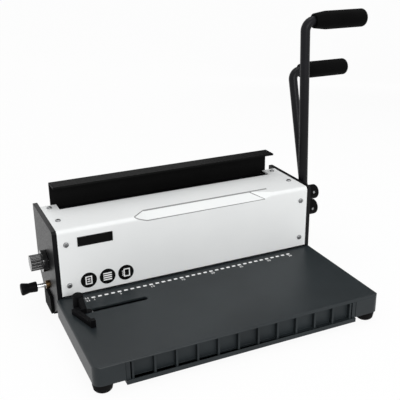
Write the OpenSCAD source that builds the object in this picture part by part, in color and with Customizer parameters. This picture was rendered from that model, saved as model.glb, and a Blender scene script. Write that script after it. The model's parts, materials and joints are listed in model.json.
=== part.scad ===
// Manual binding machine: punches a row of square holes and closes wire combs.
// Millimetres. While modelling, x = 0 is the middle of the hole row, y = 0 the line of printed
// hole marks with +y to the back, and z = 0 the floor. place() then centres the whole part.

/* [Hole row] */
// Number of punches
hole_count = 34; // [24:1:38]
// Distance between neighbouring holes
hole_pitch = 8.467; // [8:0.001:9.5]
// Side of one square punch
punch_side = 4; // [3:0.1:4.6]
// Hole row behind the cover's front face
hole_setback = 8; // [7.5:0.1:9]
// Room from the last hole to a side plate
row_margin = 35.3; // [34:0.1:45]
// Gap round a punch in the stripper and the retainer
punch_gap = 0.1; // [0.05:0.01:0.2]
// Gap round a punch in the die
die_gap = 0.2; // [0.1:0.01:0.3]

/* [Table] */
// Height of the table top above the floor
table_h = 36; // [35:0.5:45]
// Table from the hole marks to its front edge
table_reach = 146.5; // [120:0.5:180]
// Table edge beyond the inner face of a side plate
table_side = 7.6; // [3:0.1:8]
// Height of the table's skirt
skirt_h = 24; // [21.5:0.1:25]
// Wall of the table moulding
table_wall = 2.5; // [2:0.1:2.8]
// Radius of the table's front corners
table_corner_r = 9; // [4:0.5:10]
// Radius along the table's top edges
table_edge_r = 3; // [1:0.5:3.5]

/* [Feet] */
// Radius of a front foot
foot_r = 11.5; // [9:0.5:11.5]
// Front foot's centre in from the table's side and front
foot_inset = 12; // [12:0.5:16]
// Thickness of a rear foot pad
pad_t = 3; // [2:0.5:5]
// Rear foot pad in from the ends of the plate's leg
pad_inset = 1; // [0:0.5:4]
// Thickness of the cheek that a rear foot has outside its plate
cheek_t = 3.5; // [2:0.1:5]
// Height of that cheek
cheek_h = 25; // [10:0.5:26]

/* [Chip drawer] */
// Drawer front beyond the middle of each end hole
drawer_side = 7.8; // [6.8:0.1:9]
// Bottom of the drawer's front above the floor
drawer_low = 6.6; // [6:0.1:9]
// Wall and floor of the drawer
drawer_wall = 1.6; // [1:0.1:2.5]
// Rim of the drawer below the table top
drawer_rim = 9; // [8:0.1:11]
// Width of the rim flange that runs on the rails
rim_w = 3; // [2.5:0.1:3.4]
// Front panel set back from the table's front edge
panel_inset = 5.2; // [2:0.1:6]
// Thickness of the front panel
panel_t = 2; // [1.5:0.1:3]
// Lip of the front panel beyond the table's front edge
lip_out = 1.5; // [0.5:0.1:4]
// Height of the lip
lip_h = 5.4; // [4:0.1:7]
// Drawer's floor beyond each end of its front panel
floor_out = 6.5; // [4:0.1:7]
// Holes between neighbouring ribs of the front panel
rib_step = 3; // [2:1:4]
// Thickness of one rib
rib_t = 2.5; // [1:0.1:3]
// How far the drawer pulls out
drawer_travel = 150; // [60:1:170]
// Gap between drawer and rails
drawer_gap = 0.3; // [0.2:0.05:0.5]

/* [Cover] */
// Cover's front face behind the hole marks
cover_setback = 12.5; // [12:0.1:16]
// Paper slot between table and cover
paper_gap = 2.5; // [2:0.1:3.5]
// Height of the cover
cover_h = 87.3; // [86:0.1:96]
// Depth of the cover, front to back
cover_depth = 89.5; // [87:0.5:91]
// Sheet thickness of the cover
sheet_t = 1.6; // [1:0.1:1.8]
// Bend radius of the cover's front edge
cover_r = 5; // [3:0.1:5.5]
// Depth of the notch in the cover's back edge
notch_depth = 20; // [16:0.5:22]
// Notch end in from the side plate
notch_inset = 21; // [18:0.5:26]
// Pressed facet's reach down the front
facet_drop = 6.4; // [5.6:0.1:8]
// Pressed facet's reach over the top
facet_back = 18.5; // [12:0.5:22]
// Left end of the facet from the middle
facet_left = 60; // [40:1:100]
// Right end of the facet from the middle
facet_right = 100; // [60:1:110]
// Length of the facet's pointed tips
facet_tip = 20; // [10:1:30]

/* [Cover fittings] */
// Head radius of a cover screw
screw_head_r = 3.4; // [2.8:0.1:4.5]
// Head height of a cover screw
screw_head_h = 2; // [1.5:0.1:2.4]
// Shank radius of a cover screw
screw_r = 2; // [1.5:0.1:2.2]
// Screws in from the side plate
screw_inset = 10; // [8:0.5:12]
// Front screws below the cover's top and above its bottom
screw_end = 15; // [13.5:0.1:20]
// First top screw behind the cover's front
screw_top_front = 33; // [30:0.5:40]
// Second top screw before the cover's back edge
screw_top_back = 9.7; // [7:0.1:14]
// Nameplate length
plate_name_w = 44.5; // [30:0.5:60]
// Nameplate height
plate_name_h = 12.4; // [8:0.1:16]
// Nameplate's left end in from the side plate
plate_name_inset = 24; // [20:0.5:60]
// Nameplate below the cover's top
plate_name_drop = 11.6; // [8:0.1:30]
// Thickness of the nameplate and the badges
badge_t = 0.6; // [0.3:0.1:1]
// Badge radius
badge_r = 10.25; // [8:0.05:11]
// Distance between badges
badge_pitch = 24.2; // [23:0.1:30]
// First badge in from the side plate
badge_inset = 34.5; // [30:0.5:50]
// Badges above the table
badge_rise = 18.2; // [15:0.1:25]

/* [Side plates] */
// Thickness of a side plate
plate_t = 6; // [5:0.5:8]
// Depth of a side plate
plate_depth = 106.5; // [104.5:0.5:112]
// Chamfer of the top front corner
plate_chamfer = 3; // [1:0.5:5]
// Lower front corner below the table top
plate_low = 8; // [4:0.5:12]
// Leg's front end behind the plate's front
leg_front = 29.5; // [20:0.5:34]
// Leg's back end before the plate's back
leg_back = 32; // [24:0.5:36]
// Width of the flanges that carry the sheets
flange_w = 16; // [14:0.5:16.5]
// Thickness of those flanges
flange_t = 3; // [2:0.1:3.2]

/* [Shafts] */
// Both shafts above the table
shaft_rise = 44; // [43:0.5:46]
// Shaft radius
shaft_r = 6; // [5:0.1:6.4]
// Punch shaft behind the cover's front
punch_shaft_back = 32.5; // [32:0.1:36]
// Closing shaft behind the cover's front
closing_shaft_back = 84; // [82:0.1:84.2]
// Running clearance of shafts and pins
run_gap = 0.05; // [0.02:0.01:0.1]
// Outer radius of the shaft bushes
bush_r = 9; // [8:0.1:10]
// Depth of the blind seats in the left plate
blind_d = 4; // [3:0.1:4.5]

/* [Handles] */
// Radius of a handle bar
bar_r = 6.5; // [5:0.1:7]
// Bend radius of a handle bar
bend_r = 13; // [11:0.5:20]
// Length of the punch handle, shaft to grip
punch_arm = 263; // [230:1:300]
// Length of the closing handle, shaft to grip
closing_arm = 185; // [150:1:190]
// Punch handle's lean to the back
punch_lean = 2.8; // [0:0.1:10]
// Closing handle's lean to the back
closing_lean = 14.8; // [10:0.1:18]
// Punch handle bar beyond the side plate
punch_out = 9; // [8.5:0.1:11]
// Closing handle bar beyond the side plate
closing_out = 45; // [42:0.5:50]
// Radius of a handle hub
hub_r = 11; // [8.5:0.1:11]
// Hub's end beyond its bar's axis
hub_out = 21; // [18:0.5:24]
// Rounding of the hub's end
hub_edge_r = 4; // [2:0.5:5]
// Length of a grip
grip_l = 82; // [70:0.5:100]
// Radius of a grip
grip_r = 12.3; // [11:0.1:15]
// Radius at the neck of a grip
grip_neck_r = 9.8; // [8.5:0.1:11]
// Length of the neck's taper
grip_taper = 18; // [8:1:30]
// Rounding of the grip's end
grip_edge_r = 5.5; // [3:0.1:6]
// Punch handle's swing
punch_swing = 70; // [50:1:74]
// Closing handle's swing
closing_swing = 85; // [60:1:86]

/* [Punch drive] */
// Tooth module of the punch pinions
punch_mod = 1; // [0.9:0.05:1.05]
// Teeth of a punch pinion
punch_teeth = 18; // [18:1:19]
// Pinions and racks in from the last hole
pinion_inset = 19.7; // [16:0.1:40]
// Width of pinions and racks
pinion_w = 12; // [8:0.5:16]
// Thinning of each tooth for play
tooth_play = 0.35; // [0.3:0.01:0.4]
// Thickness of the die bar
die_t = 6.5; // [5:0.1:6.8]
// Depth of the die bar
die_depth = 22; // [20:0.5:24]
// Height of the stripper bar
stripper_h = 12; // [10:0.5:12]
// Punch tips above the paper slot at rest
tip_lift = 1.5; // [1:0.1:2]
// Height of the pin retainer
retainer_h = 6; // [5:0.5:7]
// Height of a pin's head
pin_head_h = 2; // [1.5:0.1:3]
// Pin head beyond each side of the pin
pin_head_side = 0.7; // [0.4:0.1:1]
// Height of the carrier beam
carrier_h = 32; // [30:0.5:36]
// Carrier's gap behind the cover's front sheet
carrier_gap = 0.5; // [0.4:0.05:1]
// Depth of the carrier beam
carrier_depth = 15; // [13:0.1:15.2]
// Guide post radius
post_r = 4; // [3:0.1:4.5]
// Guide posts in from the side plate
post_inset = 13; // [12:0.1:14]

/* [Closing drive] */
// Tooth module of the sectors
sector_mod = 1.5; // [1.4:0.01:1.5]
// Teeth of a full sector circle
sector_teeth = 20; // [19:1:20]
// Width of sectors and press racks
sector_w = 8; // [6:0.5:8]
// Top of the press bar above the table
press_rise = 120.4; // [119:0.1:128]
// Press bar's front face behind the cover's front
press_back = 92.5; // [92.3:0.1:95]
// Depth of the press bar's flange
press_flange = 23; // [16:0.5:23.5]
// Sheet thickness of the press bar
press_t = 2.5; // [2:0.1:3]
// Bend radius of the press bar
press_bend_r = 4; // [3.2:0.1:6]
// Press bar end in from the side plate
press_inset = 14.5; // [14:0.1:16]
// Thickness of a press rack's back
rack_back_t = 7.5; // [6:0.1:8]
// Thickness of the anvil plate
anvil_t = 3.5; // [3:0.1:4]
// Anvil's back edge before the press bar
anvil_gap = 4; // [3:0.1:8]
// Anvil end in from the side plate
anvil_inset = 25; // [24:0.5:40]
// Depth of the cross beam
beam_depth = 12; // [8:0.5:13]
// Height of the cross beam
beam_h = 18; // [10:0.5:18.5]

/* [Edge guide] */
// Guide slot before the hole marks
guide_slot_y = 30; // [26:0.5:34]
// Width of the guide slot
guide_slot_w = 8.5; // [7:0.1:9]
// Length of the guide slot
guide_slot_l = 87; // [50:0.5:95]
// Slot's left end in from the side plate
guide_slot_inset = 8.5; // [8:0.5:16]
// Length of the key in the slot
guide_key_l = 16; // [14:0.5:24]
// Gap round the key
guide_gap = 0.25; // [0.2:0.01:0.4]
// Height of the guide's post
guide_h = 18; // [16.5:0.1:22]
// Radius of the guide's post
guide_post_r = 6.5; // [5:0.1:7]

/* [Left controls] */
// Controls behind the cover's front
control_back = 47.5; // [46:0.1:48]
// Size knob above the table
knob_rise = 33; // [30:0.1:34]
// Radius of the size knob's skirt
knob_skirt_r = 14; // [12:0.1:16]
// Thickness of the skirt
knob_skirt_t = 6.5; // [3:0.1:8]
// Radius of the size knob
knob_r = 10.3; // [8:0.1:11.5]
// Length of the size knob beyond its skirt
knob_l = 14; // [10:0.1:20]
// Flutes round the size knob
knob_flutes = 16; // [8:1:20]
// Size knob's gap to the plate
knob_gap = 0.6; // [0.3:0.1:1.5]
// Pull pin below the table top
pull_drop = 0.8; // [0:0.1:2]
// Pin radius
pull_r = 3; // [2.5:0.1:3.2]
// Brass bush radius
pull_bush_r = 5.2; // [4:0.1:5.5]
// Brass bush beyond the plate
pull_bush_out = 4.5; // [3:0.1:8]
// Pull knob's end beyond the plate
pull_out = 36; // [34:0.5:44]
// Pull knob's length
pull_knob_l = 20.5; // [16:0.5:21]
// Pull knob's radius at its ends
pull_knob_r = 7.8; // [6:0.1:9]
// Pull knob's radius at its waist
pull_waist_r = 6.2; // [5:0.1:6.4]
// How far the pin pulls out
pull_travel = 8; // [4:0.5:8]
// How far the margin stop moves back
margin_travel = 4; // [2:0.5:5]

/* [Hidden] */
$fn = 64;

// Overshoot of cuts
eps = 1;
// Gap of a press or bolted seat
seat_gap = 0.02;
// Gap between a moving piece and a flat guide
slide_gap = 0.3;

row_w = (hole_count - 1) * hole_pitch;
half_in = row_w / 2 + row_margin;
half_out = half_in + plate_t;
half_table = half_in + table_side;

front_y = -table_reach;
cover_y = cover_setback;
hole_y = cover_y + hole_setback;
cover_back_y = cover_y + cover_depth;
plate_back_y = cover_y + plate_depth;
punch_y = cover_y + punch_shaft_back;
closing_y = cover_y + closing_shaft_back;
press_y = cover_y + press_back;
control_y = cover_y + control_back;

skirt_z = table_h - skirt_h;
slot_z = table_h + paper_gap;
top_z = slot_z + cover_h;
sheet_z = top_z - sheet_t;
shaft_z = table_h + shaft_rise;
press_z = table_h + press_rise;
knob_z = table_h + knob_rise;
pull_z = table_h - pull_drop;

// Punch stack, from the paper slot up
punch_pitch_r = punch_mod * punch_teeth / 2;
punch_stroke = punch_pitch_r * punch_swing * PI / 180;
stripper_top = slot_z + stripper_h;
stroke_spare = 1.5;
retainer_z = stripper_top + punch_stroke + stroke_spare;
carrier_z = retainer_z + retainer_h;
carrier_top = carrier_z + carrier_h;
carrier_y = cover_y + sheet_t + carrier_gap;
carrier_back = carrier_y + carrier_depth;
carrier_end = row_w / 2 + 12;
boss_r = post_r + 2.5;
boss_z = carrier_z + 3;
boss_top = carrier_top - 3;
post_x = half_in - post_inset;
post_y = cover_y + sheet_t + flange_t + slide_gap + boss_r;
post_top = carrier_top + 11;
post_seat = 8;
stripper_y = cover_y + sheet_t + flange_t + slide_gap;
stripper_back = max(post_y + boss_r, hole_y + punch_side / 2 + 4);
punch_rack_y = punch_y - punch_pitch_r;
rack_x = row_w / 2 - pinion_inset;

// Closing drive
sector_r = sector_mod * sector_teeth / 2;
press_travel = sector_r * closing_swing * PI / 180;
sector_x0 = half_in - press_inset - sector_w;
sector_x1 = half_in - press_inset;
sector_mid = (sector_x0 + sector_x1) / 2;
sector_hub_r = shaft_r + 2;
press_rack_y = closing_y - sector_r;
press_rack_back = press_rack_y - 1.25 * sector_mod - rack_back_t;
press_rack_z0 = shaft_z - 8;
bracket_z0 = shaft_z + press_travel + sector_hub_r + 1.6;
bracket_z1 = sheet_z - flange_t - 0.6;
press_low = bracket_z0 - 6;
guide_web_x = sector_x1 + slide_gap;
guide_toe_y = press_rack_back - slide_gap;
guide_y0 = guide_toe_y - 5.5;
guide_y1 = press_rack_y + 1.5;
spring_seat_t = 4;
spring_seat_z = table_h - 8;
rack_mid_y = press_rack_back + rack_back_t / 2;
beam_y0 = control_y - 4;
beam_top = sheet_z - 2.7 - anvil_t;
guide_z1 = beam_top - beam_h - 1;
anvil_back = press_y - anvil_gap;

// Stop arm and cam of the size knob
stop_x1 = -(sector_x0 - 2.5);
stop_t = 6;
spindle_r = 3;
cam_r = 8;
cam_throw = 2.5;
stop_span = norm([closing_y - control_y, shaft_z - knob_z]);
stop_arm_l = stop_span - cam_r - cam_throw - 0.6;
stop_at = 180 + atan2(shaft_z - knob_z, closing_y - control_y);

// Strip of the margin stop and the lug that the pull pin holds
strip_gap = 0.12;
pin_play = 0.5;
strip_off = 1;
strip_web = 4;
strip_front = 5.5;
strip_end = 24;
lug_side = 6;
lug_down = 7;
lug_up = 8;

// Rear panel and tie rod
rear_t = 1.5;
rear_set = 0.5;
rear_lap = 2;
rear_low = 18;
rear_top = 7;
rear_drop = 14;
rear_in = 7;
screw_past = 2;
press_screw_l = 12;
tie_r = 5;
tie_in = 8;
tie_drop = 11;
anvil_grip = 10;

// Front feet and their screws
foot_band = 4;
foot_taper = 1.5;
foot_seat = 5;
foot_bore_r = 5;
foot_head_r = 4.2;
foot_head_h = 2.4;
foot_thread = 10;

// Springs
return_wire = 0.6;
return_r = post_r + return_wire + 1;
return_turns = 7;
press_wire = 0.5;
press_spring_r = 3;
press_turns = 14;
pin_wire = 0.4;
pin_spring_r = pull_r + pin_wire + 0.8;
pin_turns = 5;

// Knobs
flute_r = 1.45;

// Pull pin
pull_collar_t = 2;
pull_collar_r = pin_spring_r + 1;
nut_wall = 0.8;
pull_nut_x = -half_in + 3;
pull_collar_x = pull_nut_x + 13.7;
pull_nose_r = 2.2;
lug_x = -(sector_x0 - 1);
lug_t = 3;
pull_nose_x = lug_x + lug_t;

// Chip drawer
panel_x = row_w / 2 + drawer_side;
drawer_x = panel_x - rim_w;
drawer_rim_z = table_h - drawer_rim;
drawer_floor_z = drawer_low + 0.6;
drawer_back = cover_y + die_depth + 7;
panel_y = front_y + panel_inset;
rib_y = front_y + 0.3;
end_slot = 1.6;
panel_top = table_h - table_wall - drawer_gap;
runner_t = 2;
runner_z = drawer_rim_z - drawer_wall - drawer_gap - runner_t;

// Edge guide
slot_r = guide_slot_w / 2;
key_r = slot_r - guide_gap;
slot_x0 = -half_in + guide_slot_inset;
key_x = slot_x0 + guide_gap + guide_key_l / 2;
guide_x = key_x + 1;
guide_travel = guide_slot_l - guide_key_l - 2 * guide_gap;
guide_plate_t = 2.7;
guide_plate_half = 8;
clamp_z = table_h - table_wall - slide_gap;
guide_post_x = guide_x - 4.8;
guide_post_y = -14;
fence_w = 6;
fence_h = 14.5;
fence_past = 4;
arm_w = 6;
arm_h = 6;
arm_side = 14;
arm_reach = 36;
arm_tip = 6;
key_half = 4;
guide_screw_gap = 4;
guide_screw_r = 1.5;
guide_head_r = 2.8;
guide_head_h = 1.4;
guide_grip = 2.8;

// Die lugs that the table bolts to
lug_in = panel_x + 6.5;
lug_z = skirt_z + 2.5;
base_screw_x = (lug_in + half_in) / 2;
base_screw_z = lug_z + 8;

// Outside limits of the whole part
x_lo = -half_out - pull_out;
x_hi = half_out + closing_out + bend_r + grip_l;
y_lo = front_y - lip_out;
y_hi = closing_y + closing_arm * sin(closing_lean) + grip_r;

// Centre of the whole part goes to x = y = 0
module place() {
    translate([-(x_lo + x_hi) / 2, -(y_lo + y_hi) / 2, 0])
        children();
}

module box(lo, hi) {
    translate(lo)
        cube(hi - lo);
}

// Extrudes a (y, z) outline along x
module along_x(x0, x1) {
    translate([x0, 0, 0])
        rotate([90, 0, 90])
            linear_extrude(x1 - x0)
                children();
}

// Extrudes an (x, z) outline along y
module along_y(y0, y1) {
    translate([0, y1, 0])
        rotate([90, 0, 0])
            linear_extrude(y1 - y0)
                children();
}

module rod_x(x0, x1, r, y, z) {
    translate([x0, y, z])
        rotate([0, 90, 0])
            cylinder(h = x1 - x0, r = r);
}

module both_sides() {
    children();
    mirror([1, 0, 0])
        children();
}

// Rectangle whose corner at its low first and high second coordinate is round
module corner_rect(lo, hi, r) {
    translate(lo)
        square([hi[0] - lo[0], hi[1] - lo[1] - r]);
    translate([lo[0] + r, lo[1]])
        square([hi[0] - lo[0] - r, hi[1] - lo[1]]);
    translate([lo[0] + r, hi[1] - r])
        circle(r);
}

// Slot outline of the given length along x, round at both ends
module stadium(x0, length, r) {
    translate([x0 + r, -r])
        square([length - 2 * r, 2 * r]);
    translate([x0 + r, 0])
        circle(r);
    translate([x0 + length - r, 0])
        circle(r);
}

// Screw along z with a domed head above z = 0
module dome_screw(head_r, head_h, r, length) {
    ball_r = (head_r * head_r + head_h * head_h) / (2 * head_h);
    intersection() {
        translate([0, 0, head_h - ball_r])
            sphere(ball_r);
        cylinder(h = head_h + eps, r = head_r + eps);
    }
    translate([0, 0, -length])
        cylinder(h = length, r = r);
}

// Everything on the side of the plane that its normal points to
module half_space(point, normal) {
    size = 2000;
    translate(point)
        rotate([0, acos(normal[2] / norm(normal)), atan2(normal[1], normal[0])])
            translate([-size / 2, -size / 2, 0])
                cube(size);
}

// Involute gear outline with a tooth at 180 degrees, thinned for play
pressure = 20;
function inv(a) = tan(a) * 180 / PI - a;
function flank(rho, r, teeth, play) =
    let (rb = r * cos(pressure), at = max(rho, rb))
    90 / teeth - play / r * 90 / PI + inv(pressure) - inv(acos(rb / at));
function tooth_points(mod, teeth, play, mid) =
    let (r = mod * teeth / 2, root = r - 1.35 * mod, tip = r + mod)
    let (radii = [root, r * cos(pressure), r - mod / 3, r, r + mod / 2, tip])
    concat(
        [for (i = [0 : 5]) let (a = mid - flank(radii[i], r, teeth, play)) radii[i] * [cos(a), sin(a)]],
        [for (i = [5 : -1 : 0]) let (a = mid + flank(radii[i], r, teeth, play)) radii[i] * [cos(a), sin(a)]]
    );
module gear_outline(mod, teeth) {
    polygon([for (i = [0 : teeth - 1]) each tooth_points(mod, teeth, tooth_play, 180 + i * 360 / teeth)]);
}

// Rack outline in (y, z) with its teeth to +y and a gap level with the gear's axis
module rack_outline(mod, pitch_y, back_y, z0, z1, axis_z) {
    step = PI * mod;
    half = step / 4 - tooth_play / 2;
    root = pitch_y - 1.35 * mod;
    tip = pitch_y + mod;
    base_half = half + 1.35 * mod * tan(pressure);
    tip_half = half - mod * tan(pressure);
    first = ceil((z0 + base_half - axis_z) / step - 0.5);
    last = floor((z1 - base_half - axis_z) / step - 0.5);
    teeth = [for (k = [first : last]) let (c = axis_z + (k + 0.5) * step)
        each [[root, c - base_half], [tip, c - tip_half], [tip, c + tip_half], [root, c + base_half]]];
    polygon(concat([[back_y, z0], [root, z0]], teeth, [[root, z1], [back_y, z1]]));
}

// Spring: an unbroken tube wound along z
coil_rings = 8;
coil_sides = 6;
function coil_centre(i, r, turns, z0, z1) =
    let (a = 360 * i / coil_rings)
    [r * cos(a), r * sin(a), z0 + (z1 - z0) * i / (turns * coil_rings)];
function coil_ring(i, r, wire, turns, z0, z1) =
    let (a = 360 * i / coil_rings)
    let (rise = (z1 - z0) / turns / (2 * PI * r), len = sqrt(1 + rise * rise))
    let (out = [cos(a), sin(a), 0], side = [rise * sin(a), -rise * cos(a), 1] / len)
    [for (k = [0 : coil_sides - 1])
        let (b = 360 * k / coil_sides)
        coil_centre(i, r, turns, z0, z1) + wire * (cos(b) * out + sin(b) * side)];
function coil_gap(r, wire, turns, z0, z1) =
    let (n = turns * coil_rings, c = [for (i = [0 : n]) coil_centre(i, r, turns, z0, z1)])
    min([for (i = [0 : n - coil_rings / 2]) for (j = [i + coil_rings / 2 : n]) norm(c[i] - c[j])]) - 2 * wire;
module coil(r, wire, turns, z0, z1) {
    n = turns * coil_rings;
    s = coil_sides;
    points = [for (i = [0 : n]) each coil_ring(i, r, wire, turns, z0, z1)];
    walls = [for (i = [0 : n - 1]) for (k = [0 : s - 1])
        let (a = i * s + k, b = i * s + (k + 1) % s)
        each [[a, a + s, b], [b, a + s, b + s]]];
    start = [for (k = [1 : s - 2]) [0, k, k + 1]];
    end = [for (k = [1 : s - 2]) [n * s, n * s + k + 1, n * s + k]];
    polyhedron(points, concat(walls, start, end));
}

// Table and floor parts

module base_outer() {
    depth = cover_y - front_y;
    intersection() {
        translate([0, 0, skirt_z])
            linear_extrude(skirt_h)
                union() {
                    translate([-half_table, front_y + table_corner_r])
                        square([2 * half_table, depth - table_corner_r]);
                    translate([-half_table + table_corner_r, front_y])
                        square([2 * (half_table - table_corner_r), depth]);
                    for (s = [-1, 1])
                        translate([s * (half_table - table_corner_r), front_y + table_corner_r])
                            circle(table_corner_r);
                }
        along_x(-half_table - eps, half_table + eps)
            corner_rect([front_y, skirt_z - eps], [cover_y + eps, table_h], table_edge_r);
        along_y(front_y - eps, cover_y + eps)
            union() {
                corner_rect([-half_table, skirt_z - eps], [0, table_h], table_edge_r);
                mirror([1, 0])
                    corner_rect([-half_table, skirt_z - eps], [0, table_h], table_edge_r);
            }
    }
}

module foot_spots() {
    for (s = [-1, 1])
        translate([s * (half_table - foot_inset), front_y + foot_inset, 0])
            children();
}

module base_shell() {
    under = table_h - table_wall;
    opening_x = panel_x + drawer_gap;
    color("#3b3e41")
        difference() {
            union() {
                difference() {
                    base_outer();
                    box([-half_table + table_wall, front_y + table_corner_r, skirt_z - eps],
                        [half_table - table_wall, cover_y - table_wall, under]);
                    box([-half_table + table_corner_r, front_y + table_wall, skirt_z - eps],
                        [half_table - table_corner_r, cover_y - table_wall, under]);
                }
                foot_spots()
                    translate([0, 0, skirt_z])
                        cylinder(h = under + 0.5 - skirt_z, r = foot_inset - table_wall + 0.7);
            }
            box([-opening_x, front_y - eps, skirt_z - eps], [opening_x, front_y + table_wall + eps, under]);
            box([-lug_in, cover_y - table_wall - eps, skirt_z - eps], [lug_in, cover_y + eps, under]);
            translate([0, -guide_slot_y, under - eps])
                linear_extrude(table_wall + 2 * eps)
                    stadium(slot_x0, guide_slot_l, slot_r);
            foot_spots()
                translate([0, 0, skirt_z - eps])
                    cylinder(h = foot_thread + screw_past + eps, r = screw_r + run_gap);
            for (s = [-1, 1])
                translate([s * base_screw_x, cover_y + eps, base_screw_z])
                    rotate([90, 0, 0])
                        cylinder(h = table_wall + 2 * eps, r = screw_r + 0.2);
        }
}

module drawer_runners() {
    web_x = drawer_x + rim_w + 0.5;
    color("#8d9194")
        both_sides()
            difference() {
                along_y(panel_y + panel_t + runner_t, cover_y - table_wall - 1)
                    union() {
                        translate([drawer_x + 0.5, runner_z])
                            square([rim_w + runner_t, runner_t]);
                        translate([web_x, runner_z])
                            square([runner_t, table_h - table_wall - runner_z]);
                    }
                box([web_x - eps, -guide_slot_y - guide_plate_half - 2, clamp_z - guide_plate_t - 2.2],
                    [web_x + runner_t + eps, -guide_slot_y + guide_plate_half + 2, table_h]);
            }
}

module front_feet() {
    color("#1d1e1f")
        foot_spots()
            difference() {
                union() {
                    cylinder(h = skirt_z - foot_band, r1 = foot_r - foot_taper, r2 = foot_r);
                    translate([0, 0, skirt_z - foot_band])
                        cylinder(h = foot_band, r = foot_r);
                }
                translate([0, 0, -eps])
                    cylinder(h = foot_seat + eps, r = foot_bore_r);
                cylinder(h = skirt_z + eps, r = screw_r + 0.2);
            }
}

module foot_screws() {
    color("#b9bcbe")
        foot_spots() {
            translate([0, 0, foot_seat - foot_head_h])
                cylinder(h = foot_head_h, r = foot_head_r);
            translate([0, 0, foot_seat])
                cylinder(h = skirt_z + foot_thread - foot_seat, r = screw_r);
        }
}

// Pads under the plates' legs, each with a cheek up the outside of its plate
module rear_feet() {
    pad_y0 = cover_y + leg_front + pad_inset;
    pad_y1 = plate_back_y - leg_back - pad_inset;
    color("#1d1e1f")
        both_sides() {
            box([half_in - 0.5, pad_y0, 0], [half_out + 0.5, pad_y1, pad_t]);
            box([half_out, pad_y0 + 1, 0.4], [half_out + cheek_t, pad_y1 - 8, cheek_h]);
        }
}

// Chip drawer

module chip_drawer() {
    ribs = floor((row_w / hole_pitch) / rib_step);
    end_x = ribs / 2 * rib_step * hole_pitch + rib_t / 2 + end_slot;
    color("#36393c") {
        difference() {
            union() {
                box([-drawer_x, panel_y, drawer_floor_z], [drawer_x, drawer_back, drawer_rim_z]);
                box([-drawer_x - rim_w, panel_y + panel_t + 3, drawer_rim_z - drawer_wall],
                    [drawer_x + rim_w, drawer_back, drawer_rim_z]);
                box([-panel_x - floor_out, panel_y + panel_t, drawer_floor_z],
                    [panel_x + floor_out, drawer_back, drawer_floor_z + drawer_wall]);
            }
            box([-drawer_x + drawer_wall, panel_y + panel_t, drawer_floor_z + drawer_wall],
                [drawer_x - drawer_wall, drawer_back - drawer_wall, drawer_rim_z + eps]);
        }
        box([-panel_x, panel_y, drawer_low], [panel_x, panel_y + panel_t, panel_top]);
        box([-panel_x, front_y - lip_out, drawer_low], [panel_x, panel_y + panel_t, drawer_low + lip_h]);
        for (i = [0 : ribs])
            translate([(i - ribs / 2) * rib_step * hole_pitch - rib_t / 2, rib_y, drawer_low])
                cube([rib_t, panel_y + panel_t - rib_y, panel_top - drawer_low]);
        both_sides()
            box([end_x, rib_y, drawer_low], [panel_x, panel_y + panel_t, panel_top]);
    }
}

// Side plates

module plate_outline() {
    polygon([
        [cover_y, table_h - plate_low],
        [cover_y, top_z - plate_chamfer],
        [cover_y + plate_chamfer, top_z],
        [plate_back_y, top_z],
        [plate_back_y, table_h],
        [plate_back_y - leg_back, pad_t],
        [cover_y + leg_front, pad_t]
    ]);
}

// Plate on the +x side with the flanges that the sheets screw to
module plate_body() {
    flange_x = half_in - flange_w;
    front_in = cover_y + sheet_t;
    panel_in = plate_back_y - rear_set - rear_t;
    along_x(half_in, half_out)
        plate_outline();
    difference() {
        union() {
            box([flange_x, front_in, slot_z + 6], [half_in + 0.5, front_in + flange_t, sheet_z - 5]);
            box([flange_x, front_in + 16, sheet_z - flange_t], [half_in + 0.5, cover_back_y - 1, sheet_z]);
            box([guide_web_x, panel_in - flange_t, table_h + 8],
                [half_in + 0.5, panel_in, sheet_z - 6]);
        }
        cover_screw_spots()
            translate([0, 0, -12])
                cylinder(h = 24, r = screw_r + 0.15);
        rear_screw_spots()
            translate([0, 0, -12])
                cylinder(h = 24, r = screw_r + 0.15);
    }
}

module side_plate_right() {
    color("#2a2c2e")
        difference() {
            plate_body();
            rod_x(half_in - eps, half_out + eps, bush_r + seat_gap, punch_y, shaft_z);
            rod_x(half_in - eps, half_out + eps, bush_r + seat_gap, closing_y, shaft_z);
        }
}

module side_plate_left() {
    color("#2a2c2e")
        difference() {
            mirror([1, 0, 0])
                plate_body();
            rod_x(-half_in - blind_d, -half_in + eps, bush_r + seat_gap, punch_y, shaft_z);
            rod_x(-half_in - blind_d, -half_in + eps, bush_r + seat_gap, closing_y, shaft_z);
            rod_x(-half_out - eps, -half_in + eps, spindle_r + run_gap, control_y, knob_z);
            rod_x(-half_out - eps, -half_in + eps, pull_bush_r + seat_gap, control_y, pull_z);
        }
}

// Cover and what sits on it

// Cuts the pressed facet out of a block whose front and top faces lie at y0 and z1
module facet_cut(inset) {
    y0 = cover_y;
    z1 = top_z;
    main = [0, -facet_drop, facet_back];
    low = [-facet_left, y0, z1 - facet_drop];
    left_tip = [-facet_left - facet_tip, y0, z1];
    right_low = [facet_right + 0.4 * facet_tip, y0, z1 - facet_drop];
    right_top = [facet_right - 0.35 * facet_tip, y0 + facet_back, z1];
    right_tip = [facet_right + 1.5 * facet_tip, y0, z1];
    left_top = [-facet_left, y0 + facet_back, z1];
    left_n = cross(left_top - left_tip, low - left_tip);
    right_n = cross(right_low - right_tip, right_top - right_tip);
    up_left = left_n[2] > 0 ? left_n : -left_n;
    up_right = right_n[2] > 0 ? right_n : -right_n;
    intersection() {
        half_space(low - inset * main / norm(main), main);
        half_space(low - inset * up_left / norm(up_left), up_left);
        half_space(right_low - inset * up_right / norm(up_right), up_right);
    }
}

module cover_block(inset) {
    difference() {
        along_x(-half_in - inset, half_in + inset)
            corner_rect([cover_y + inset, slot_z - inset], [cover_back_y + inset, top_z - inset],
                cover_r - inset);
        facet_cut(inset);
    }
}

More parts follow.
